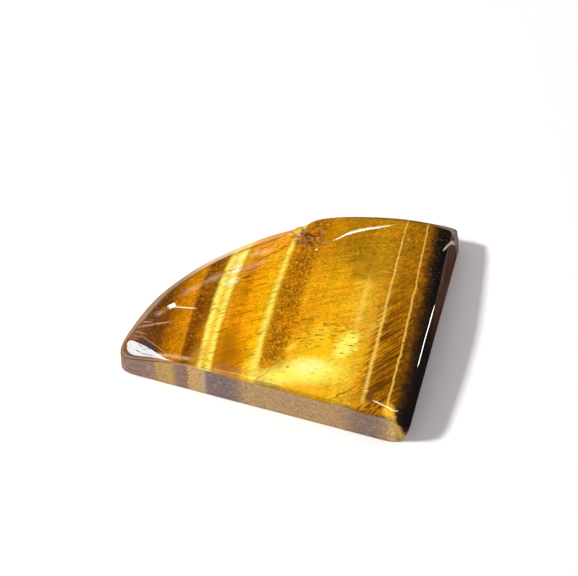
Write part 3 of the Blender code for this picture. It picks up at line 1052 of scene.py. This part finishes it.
class StoneSkin(Bench):
    """Colour of the stone's skin, laid layer over layer, and the values that the layers share."""

    def __init__(self, tree: bpy.types.NodeTree, waver: float) -> None:
        """Reads the place on the stone and makes the shared noises.

        Args:
            tree: Shader tree of the material.
            waver: How far the fibres jog the bands, in millimetres.
        """
        super().__init__(tree)
        self.marks = {shape: mark_group(shape) for shape in MarkShape}
        self.fibres = fibre_group()
        seen = self.node("ShaderNodeTexCoord").outputs
        grown = self.vectors("SCALE", seen["Object"])
        self.plug(grown.node.inputs["Scale"], 1.0 / MM)
        self.place = self.vectors("ADD", grown, (*MIDDLE_MM, 0.0))
        self.x, self.y, self.z = (self.part(self.place, axis) for axis in (X_AXIS, Y_AXIS, Z_AXIS))
        self.ahead, self.up = (self.part(seen["Normal"], axis) for axis in (Y_AXIS, Z_AXIS))
        self.cloud = self.noise(self.place, 0.55, 3.0, 0.55).outputs
        stir = self.noise(self.place, 1.6, 3.0, 0.6).outputs[1]
        self.rough = self.vectors("SUBTRACT", stir, (0.5, 0.5, 0.5))
        self.speck = self.level(self.place, 3.7, 4.0, 0.78)
        self.fray = self.fibre(28.0, 1.1, 0.11)
        straight = self.group(band_group(), place=self.place)
        jog = self.centred(self.fibre(30.0, 4.0, 0.30))
        self.across = self.maths("MULTIPLY_ADD", jog, 2.0 * waver, straight)
        self.golden = self.eased(self.across, 13.0, 12.2)
        self.colour: Plug = (0.0, 0.0, 0.0, 1.0)

    def fibre(self, azimuth: float, length: float, width: float, place: Plug | None = None) -> Socket:
        """Value of fibres along an azimuth, at the place on the stone or at another one."""
        at = self.place if place is None else place
        return self.group(self.fibres, place=at, azimuth=azimuth, length=length, width=width)

    def swirled(self, scale: float, detail: float, reach: float) -> Socket:
        """Place on the stone, swirled level by a noise."""
        swirl = self.noise(self.place, scale, detail).outputs[1]
        return self.vectors("MULTIPLY_ADD", swirl, (reach, reach, 0.0), self.place)

    def frayed(self, ragged: float) -> Socket:
        """Place on the stone, shifted by a noise that frays edges."""
        return self.vectors("MULTIPLY_ADD", self.rough, (2.0 * ragged,) * 3, self.place)

    def mask(self, mark: Mark) -> Socket:
        """Where a mark lies.

        Args:
            mark: The mark.

        Returns:
            Its mask.
        """
        made = self.group(
            self.marks[mark.shape],
            place=self.frayed(mark.ragged),
            middle=(*mark.middle, 0.0),
            azimuth=mark.azimuth,
            half_length=mark.half_length,
            half_width=mark.half_width,
            core=mark.core,
        )
        made.node.label = mark.name
        return made

    def zones(self, value: Plug, zones: Zones, low: float = -15.0, high: float = 15.0) -> Socket:
        """Colour of the zone that a value falls in.

        Args:
            value: Place across the bands, or another value.
            zones: Colours at their values.
            low: Value at the ramp's start.
            high: Value at the ramp's end.

        Returns:
            The colour.
        """
        ramp = self.node("ShaderNodeValToRGB", self.between(value, low, high, 0.0, 1.0))
        stops = ramp.color_ramp.elements
        while len(stops) < len(zones):
            stops.new(0.5)
        for stop, (at, colour) in zip(stops, zones):
            stop.position = (at - low) / (high - low)
            stop.color = colour
        return ramp.outputs[0]

    def lay(self, colour: Plug, *shares: Plug) -> None:
        """Lays a colour over the skin, as far as the product of its shares."""
        self.colour = self.mix(self.product(*shares), self.colour, colour)

    def shade(self, value: Plug, low: float, high: float, dark: float, light: float) -> None:
        """Darkens the skin where a value is low, and lightens it where it is high."""
        self.colour = self.shaded(self.colour, value, low, high, dark, light)

    def lay_marks(self, marks: tuple[Mark, ...]) -> None:
        """Lays natural marks, lowest first."""
        for mark in marks:
            self.lay(mark.colour, self.mask(mark), mark.strength)

    def lay_bands(self) -> None:
        """Lays the broad bands: the front half, the torn dark edge at the right, and the back half."""
        torn_edge = self.eased(self.across, 11.0, 12.2, 0.0, 2.2)
        tear = self.product(self.centred(self.level(self.place, 2.0, 4.0, 0.75)), torn_edge)
        torn = self.maths("ADD", tear, self.across)
        right = self.zones(torn, RIGHT_ZONES, 11.0, 15.0)
        front = self.mix(self.eased(self.across, 11.5, 11.8), self.zones(self.across, TOP_ZONES), right)
        clouded = self.maths("MULTIPLY_ADD", self.cloud[0], 3.0, self.y)
        # The back half takes the back zones, painted darker where less light comes back from the fibres.
        self.colour = self.mix(self.eased(clouded, 0.4, 7.4), front, self.zones(torn, BACK_ZONES))

    def lay_fibres(self) -> None:
        """Swings the colour along the fibres, in clouds and in faint stripes."""
        for layer in FIBRES:
            value = self.fibre(layer.azimuth, layer.length, layer.width)
            self.shade(value, 0.30, 0.70, layer.dark, layer.light)
        self.shade(self.cloud[0], 0.30, 0.70, 0.86, 1.10)
        stripes = self.packed(self.across, self.product(self.y, 0.07))
        self.shade(self.level(stripes, 1.9, 3.0, 0.6), 0.32, 0.68, 0.86, 1.12)
        self.lay(tint(238, 142, 0), self.eased(self.cloud[1], 0.50, 0.66), 0.35, self.golden)

    def lay_specks(self) -> None:
        """Lays dark dots and golden flecks, thickest in the dark band, and dust on the dark edge."""
        dark_band = self.window(self.across, -1.3, -0.7, 0.9, 1.9)
        speckled = self.maths("MAXIMUM", dark_band, self.product(self.golden, 0.42))
        self.lay(tint(104, 56, 2), self.eased(self.speck, 0.52, 0.61), speckled, 0.85)
        self.lay(tint(248, 190, 50), self.eased(self.speck, 0.455, 0.36), speckled, 0.80)
        dusty = self.product(self.eased(self.across, 12.5, 13.2), self.eased(self.y, -2.0, 6.0, 0.08, 0.30))
        self.lay(tint(140, 108, 80), self.eased(self.speck, 0.56, 0.64), dusty)

    def lay_comb(self) -> None:
        """Lays the dark slanting comb of the right-hand bands."""
        comb = self.fibre(53.0, 3.8, 0.20)
        low = self.eased(self.y, 3.5, -5.0, 0.25, 1.0)
        zone = self.product(self.window(self.across, 8.3, 9.3, 12.1, 12.9), low)
        self.lay(tint(92, 48, 4), zone, self.eased(comb, 0.46, 0.60), 0.85)
        self.lay(tint(226, 156, 20), zone, self.eased(comb, 0.44, 0.34), 0.5)

    def lay_threads(self) -> Plug:
        """Lays the bright thread bands.

        Returns:
            Mask of all the threads.
        """
        thread = thread_group()
        slow = self.centred(self.level(self.place, 0.45, 3.0, 0.6))
        broken = self.between(self.fray, 0.30, 0.60, 0.55, 1.0)
        every: Plug = 0.0
        for band in THREADS:
            shift = self.maths("MULTIPLY_ADD", slow, 2.0 * band.waver, self.across)
            half = self.between(self.y, -12.0, 9.0, band.half_front, band.half_back)
            mask = self.group(thread, across=shift, at=band.at, half_width=half, core=band.core)
            mask.node.label = band.name
            length = self.window(self.y, band.from_y, band.from_y + 1.2, band.to_y - 1.6, band.to_y)
            share = self.product(mask, length, band.strength, broken)
            self.lay(band.colour, share)
            every = self.maths("MAXIMUM", every, share)
        return every

    def lay_needles(self) -> None:
        """Lays dark needles and hairs along the fibres, curls at the back, and short dashes in the middle."""
        needles = self.eased(self.fibre(36.0, 2.6, 0.14), 0.57, 0.66)
        self.lay(tint(134, 72, 6), needles, self.eased(self.across, -0.9, -1.6), 0.72)
        hairs = self.eased(self.fibre(27.0, 0.7, 0.11), 0.60, 0.68)
        self.lay(tint(140, 80, 8), hairs, self.eased(self.across, 12.8, 11.8), 0.55)
        curls = self.fibre(40.0, 1.5, 0.13, self.swirled(0.42, 1.0, 4.5))
        high = self.product(self.eased(self.y, 0.0, 4.0), self.window(self.across, 1.0, 3.5, 11.6, 12.6))
        self.lay(tint(112, 76, 4), self.eased(curls, 0.56, 0.66), high, 0.50)
        self.lay(tint(236, 192, 60), self.eased(curls, 0.42, 0.33), high, 0.42)
        dashes = self.eased(self.fibre(22.0, 0.75, 0.16), 0.56, 0.64)
        near = self.window(self.y, -8.6, -6.9, -4.6, -2.6)
        self.lay(tint(136, 76, 6), dashes, self.window(self.across, 0.6, 1.6, 7.2, 8.6), near, 0.80)

    def lay_bubbles(self) -> None:
        """Lays small round inclusions, dark with a pale middle."""
        flat = self.vectors("MULTIPLY", self.swirled(2.6, 2.0, 0.5), (1.0, 1.0, 0.15))
        cells = self.cells(flat, 0.85).outputs
        chosen = self.eased(self.part(cells["Color"], X_AXIS), 0.70, 0.76)
        picked = self.product(chosen, self.window(self.across, -5.0, -2.0, 10.0, 12.0))
        self.lay(tint(128, 72, 4), self.window(cells["Distance"], 0.05, 0.10, 0.13, 0.19), picked, 0.65)
        self.lay(tint(250, 206, 90), self.eased(cells["Distance"], 0.08, 0.03), picked, 0.5)

    def lay_fracture(self) -> Plug:
        """Lays the broken spot at the step, in small brown, gold and rose shards.

        Returns:
            Mask of the broken spot.
        """
        spot = self.mask(FRACTURE)
        cells = self.cells(self.vectors("MULTIPLY", self.frayed(FRACTURE.ragged), (0.8, 1.5, 1.5)), 2.4)
        shards = self.zones(self.part(cells.outputs["Color"], X_AXIS), SHARDS, 0.0, 1.0)
        shards = self.shaded(shards, self.level(self.place, 6.0, 3.0, 0.7), 0.3, 0.7, 0.70, 1.15)
        self.lay(shards, spot, FRACTURE.strength)
        return spot

    def overhang(self) -> Plug:
        """How far the colour of the top runs down over the rim of the sawn side.

        Returns:
            Part of the skin's upward look that holds the colour of the top.
        """
        aside = self.maths("SUBTRACT", self.x, CROWN_MIDDLE[0])
        rim = self.maths("MULTIPLY_ADD", self.product(aside, aside), -0.5 / CROWN_RADIUS, FRONT_RIM_TOP)
        left = self.eased(self.x, -6.5, -1.0, 0.18, 0.62)
        middle = self.product(left, self.eased(self.x, 9.5, 6.5, 0.25, 1.0))
        corner = self.maths("POWER", self.between(self.x, 12.1, 13.9, 0.0, 1.0), 1.7)
        reach = self.maths("MULTIPLY_ADD", corner, 1.3, middle)
        share = self.maths("DIVIDE", self.maths("SUBTRACT", rim, self.z), reach)
        return self.product(self.eased(share, 1.12, 0.90), self.eased(self.ahead, -0.25, -0.5), 0.84)

    def lay_sides(self, broken: Plug) -> None:
        """Lays the greyer rims and upright sides, and a painted shade line along the rim.

        Args:
            broken: Mask of the broken spot, which keeps its own colour.
        """
        up = self.maths("MAXIMUM", self.maths("MAXIMUM", self.up, self.overhang()), broken)
        grain = self.level(self.place, 3.2, 4.0, 0.72)
        blurred = self.maths("MULTIPLY_ADD", self.centred(grain), 1.6, self.across)
        wall = self.shaded(self.zones(blurred, WALL_ZONES), grain, 0.30, 0.70, 0.72, 1.54)
        spots = self.level(self.place, 1.9, 5.0, 0.75)
        wall = self.mix(self.product(self.eased(spots, 0.54, 0.66), 0.60), wall, tint(150, 108, 104))
        wall = self.mix(self.product(self.eased(spots, 0.46, 0.34), 0.50), wall, tint(216, 188, 134))
        # Rim colours, whose pale left part is partly painted reflection.
        rims = self.shaded(self.zones(self.across, RIM_ZONES), grain, 0.25, 0.75, 0.82, 1.14)
        self.lay(rims, self.eased(up, 0.92, 0.74), 0.70)
        crease = self.window(up, 0.83, 0.88, 0.90, 0.94)
        self.lay(tint(108, 66, 30), crease, self.eased(self.across, -1.5, -4.0, 0.0, 0.55))
        self.lay(wall, self.eased(up, 0.62, 0.36))
        # Painted shade: a dark brown line along the rounded rim between the top and the sides, strongest at
        # the left.
        painted_rim_shade = self.window(up, 0.20, 0.40, 0.46, 0.66)
        self.lay(tint(92, 62, 38), painted_rim_shade, self.eased(self.across, -9.0, -1.5, 0.92, 0.42))
        self.lay_corner(up, grain)

    def lay_corner(self, up: Plug, grain: Plug) -> None:
        """Lays the dark right side, and the last thread that runs down the corner beside it.

        Args:
            up: How far the skin looks up.
            grain: Noise value that breaks the colours up.
        """
        beside = self.maths("ADD", self.across, self.maths("MULTIPLY_ADD", self.z, 0.27, -13.75))
        beside = self.maths("MULTIPLY_ADD", self.centred(grain), 0.35, beside)
        streak = self.level(self.packed(self.product(self.y, 0.16), self.product(self.z, 1.5)), 1.6, 3.0, 0.6)
        umber = self.mix(self.between(streak, 0.35, 0.65, 0.0, 1.0), tint(68, 44, 36), tint(126, 86, 66))
        umber = self.mix(self.eased(self.y, 4.0, -3.5), umber, tint(30, 22, 22))
        self.lay(umber, self.eased(beside, 0.16, 0.50), self.eased(up, 0.80, 0.50))
        line = self.eased(self.maths("ABSOLUTE", beside), 0.34, 0.05)
        self.lay(tint(255, 210, 112), line, self.eased(self.y, -9.5, -10.8), self.eased(up, 0.93, 0.78), 0.9)

    def polish(self) -> Plug:
        """Share of the glassy polish, which leaves out the sawn sides, the broken spot and the scratches.

        Returns:
            The share.
        """
        turned = self.eased(self.x, 10.5, 12.5, 0.75, 0.58)
        top = self.eased(self.up, turned, self.maths("ADD", turned, 0.10), 0.03, 1.0)
        unbroken = self.eased(self.mask(SCAR), 0.6, 0.0, 0.04, 1.0)
        share = self.product(top, unbroken, self.eased(self.ahead, 0.22, 0.38, 1.0, 0.08))
        for scratch in SCRATCHES:
            whole = self.maths("MULTIPLY_ADD", self.mask(scratch), -scratch.strength, 1.0)
            share = self.product(share, whole)
        return self.product(share, self.between(self.fray, 0.30, 0.62, 0.72, 1.0))

    def relief(self, broken: Plug) -> Socket:
        """Raises the grit of the broken spot, and a faint tooth elsewhere.

        Args:
            broken: Mask of the broken spot.

        Returns:
            Normal of the skin.
        """
        tooth = self.product(self.speck, 0.02)
        height = self.maths("MULTIPLY_ADD", broken, self.level(self.place, 3.4, 4.0, 0.7), tooth)
        return self.bump(height, 0.6, 0.00012)


@dataclass(frozen=True)
class TigersEye:
    """Finish of the stone: golden chatoyant bands under a glassy polish, and greyer sawn sides."""

    name: str = "polished_tigers_eye"
    roughness: float = 0.42
    sheen_swing: float = 0.08
    base_gloss: float = 0.0
    polish_roughness: float = 0.035
    polish_ior: float = 1.54
    waver: float = 0.10
    exposure: float = 0.90
    silk: float = 0.12

    def material(self) -> bpy.types.Material:
        """Makes the finish.

        Returns:
            The material.
        """
        made = bpy.data.materials.new(self.name)
        made.use_nodes = True
        shader = made.node_tree.nodes["Principled BSDF"].inputs
        skin = StoneSkin(made.node_tree, self.waver)
        skin.lay_bands()
        skin.lay_fibres()
        skin.lay_specks()
        skin.lay_marks(GLOWS)
        skin.lay_comb()
        threads = skin.lay_threads()
        skin.lay_marks(MARKS)
        skin.lay_needles()
        skin.lay_bubbles()
        broken = skin.lay_fracture()
        skin.lay_sides(broken)
        skin.lay_marks(SKIN_MARKS)
        sheen = skin.between(skin.fray, 0.30, 0.70, -self.sheen_swing, self.sheen_swing)
        whole = (self.exposure, self.exposure, self.exposure, 1.0)
        skin.plug(shader["Base Color"], skin.mix(1.0, skin.colour, whole, "MULTIPLY"))
        skin.plug(shader["Roughness"], skin.maths("ADD", sheen, self.roughness))
        skin.plug(shader["Metallic"], skin.product(threads, self.silk))
        skin.plug(shader["Normal"], skin.relief(broken))
        skin.plug(shader["Coat Weight"], skin.polish())
        shader["Specular IOR Level"].default_value = self.base_gloss
        shader["IOR"].default_value = self.polish_ior
        shader["Coat Roughness"].default_value = self.polish_roughness
        shader["Coat IOR"].default_value = self.polish_ior
        return made


@dataclass(frozen=True)
class PaleBoard:
    """Finish of the table: off-white board with a faint tooth."""

    name: str = "pale_board"
    light: Colour = (0.93, 0.93, 0.93, 1.0)
    dark: Colour = (0.90, 0.90, 0.90, 1.0)
    roughness: float = 0.85
    roughness_swing: float = 0.05
    gloss: float = 0.2
    tooth_scale: float = 900.0
    tooth_depth: float = 0.00005

    def material(self) -> bpy.types.Material:
        """Makes the finish.

        Returns:
            The material.
        """
        made = bpy.data.materials.new(self.name)
        made.use_nodes = True
        bench = Bench(made.node_tree)
        shader = made.node_tree.nodes["Principled BSDF"].inputs
        tooth = bench.level(bench.node("ShaderNodeTexCoord").outputs["Object"], self.tooth_scale, 3.0, 0.6)
        rougher, smoother = self.roughness + self.roughness_swing, self.roughness - self.roughness_swing
        bench.plug(shader["Base Color"], bench.mix(tooth, self.dark, self.light))
        bench.plug(shader["Roughness"], bench.between(tooth, 0.2, 0.8, smoother, rougher))
        bench.plug(shader["Normal"], bench.bump(tooth, 0.15, self.tooth_depth))
        shader["Specular IOR Level"].default_value = self.gloss
        return made


class LampRole(Enum):
    """What a lamp is for: to light the stone, or to be seen in its polish."""

    LIGHT = "light"
    GLINT = "glint"


@dataclass(frozen=True)
class Softbox:
    """Soft lamp: its role, the way to it, its distance and sizes in metres, radiance, colour and turn."""

    name: str
    role: LampRole
    azimuth: float
    elevation: float
    distance: float
    wide: float
    tall: float
    radiance: float
    colour: Point = (1.0, 1.0, 1.0)
    turn: float = 0.0

    def build(self) -> None:
        """Sets the lamp up, facing the stone."""
        lamp = bpy.data.lights.new(self.name, "AREA")
        lamp.shape = "RECTANGLE"
        lamp.size = self.wide
        lamp.size_y = self.tall
        lamp.energy = self.radiance * math.pi * self.wide * self.tall
        lamp.color = self.colour
        holder = placed(self.name, lamp)
        away = heading(self.azimuth, self.elevation)
        holder.location = away * self.distance
        facing = away.to_track_quat("Z", "Y") @ Quaternion(Z_AXIS, math.radians(self.turn))
        holder.rotation_euler = facing.to_euler()
        holder.visible_glossy = self.role is LampRole.GLINT
        holder.visible_diffuse = self.role is LampRole.LIGHT


LIGHT = LampRole.LIGHT
GLINT = LampRole.GLINT


@dataclass(frozen=True)
class Studio:
    """Pale table, soft lamps and the camera, in metres and degrees."""

    softboxes: tuple[Softbox, ...] = (
        Softbox("key", GLINT, 199.0, 50.1, 0.45, 0.117, 0.109, 20.5, (0.86, 0.95, 1.0), 15.0),
        Softbox("key_core", LIGHT, 201.0, 46.0, 0.45, 0.05, 0.05, 268.0, (1.0, 0.985, 0.96)),
        Softbox("fill", LIGHT, 20.0, 86.0, 0.60, 1.10, 1.10, 0.86, (1.0, 0.935, 0.96)),
        Softbox("overhead_strip", GLINT, 174.0, 74.5, 0.45, 0.03, 0.09, 15.0, (1.0, 0.97, 0.95)),
        Softbox("back_window", GLINT, 106.0, 20.0, 0.45, 0.085, 0.18, 17.0),
        Softbox("left_tube", GLINT, 137.4, 43.5, 0.45, 0.008, 0.085, 26.0, (1.0, 0.98, 0.95), -9.0),
        Softbox("right_window", GLINT, 36.0, 15.0, 0.45, 0.085, 0.13, 40.0),
        Softbox("corner_end", GLINT, 49.0, 74.6, 0.45, 0.018, 0.085, 26.0, (1.0, 0.90, 0.76), -61.0),
    )
    surround: Colour = (0.035, 0.031, 0.033, 1.0)
    board: PaleBoard = PaleBoard()
    board_half: float = 1.2
    board_cells: int = 24
    view_azimuth: float = -72.806
    view_elevation: float = 55.0
    view_distance: float = 0.2569
    view_target: Point = (-0.001515, 0.002304, 0.0)
    lens: float = 160.0
    nearest: float = 0.001

    def build_board(self) -> None:
        """Makes the flat table top."""
        edge = np.linspace(-self.board_half, self.board_half, self.board_cells + 1)
        corners = [(float(x), float(y), 0.0) for y in edge for x in edge]
        row = self.board_cells + 1
        lows = [j * row + i for j in range(self.board_cells) for i in range(self.board_cells)]
        faces = [(low, low + 1, low + row + 1, low + row) for low in lows]
        mesh = bpy.data.meshes.new("table")
        mesh.from_pydata(corners, [], faces)
        mesh.materials.append(self.board.material())
        table = placed("table", mesh)

    def build_surround(self) -> None:
        """Sets the even light from all round."""
        world = bpy.data.worlds.new("surround")
        world.use_nodes = True
        world.node_tree.nodes["Background"].inputs["Color"].default_value = self.surround
        bpy.context.scene.world = world

    def build_camera(self) -> None:
        """Sets the camera up and makes it the scene's own."""
        away = heading(self.view_azimuth, self.view_elevation)
        data = bpy.data.cameras.new("view")
        data.lens = self.lens
        data.clip_start = self.nearest
        camera = placed("view", data)
        camera.location = Vector(self.view_target) + away * self.view_distance
        camera.rotation_euler = away.to_track_quat("Z", "Y").to_euler()
        bpy.context.scene.camera = camera

    def build(self) -> None:
        """Sets up the table, the lamps and the camera."""
        bpy.context.scene.view_settings.view_transform = "Standard"
        self.build_board()
        self.build_surround()
        for softbox in self.softboxes:
            softbox.build()
        self.build_camera()


def main() -> None:
    """Builds the stone and its studio in order."""
    logging.basicConfig(level=logging.INFO, format="%(name)s: %(message)s")
    stone = StoneBody().build(TigersEye())
    LOG.info("%s: %d faces", stone.name, len(stone.data.polygons))
    Studio().build()
    LOG.info("table, softboxes and camera set up")


if __name__ == "__main__":
    main()
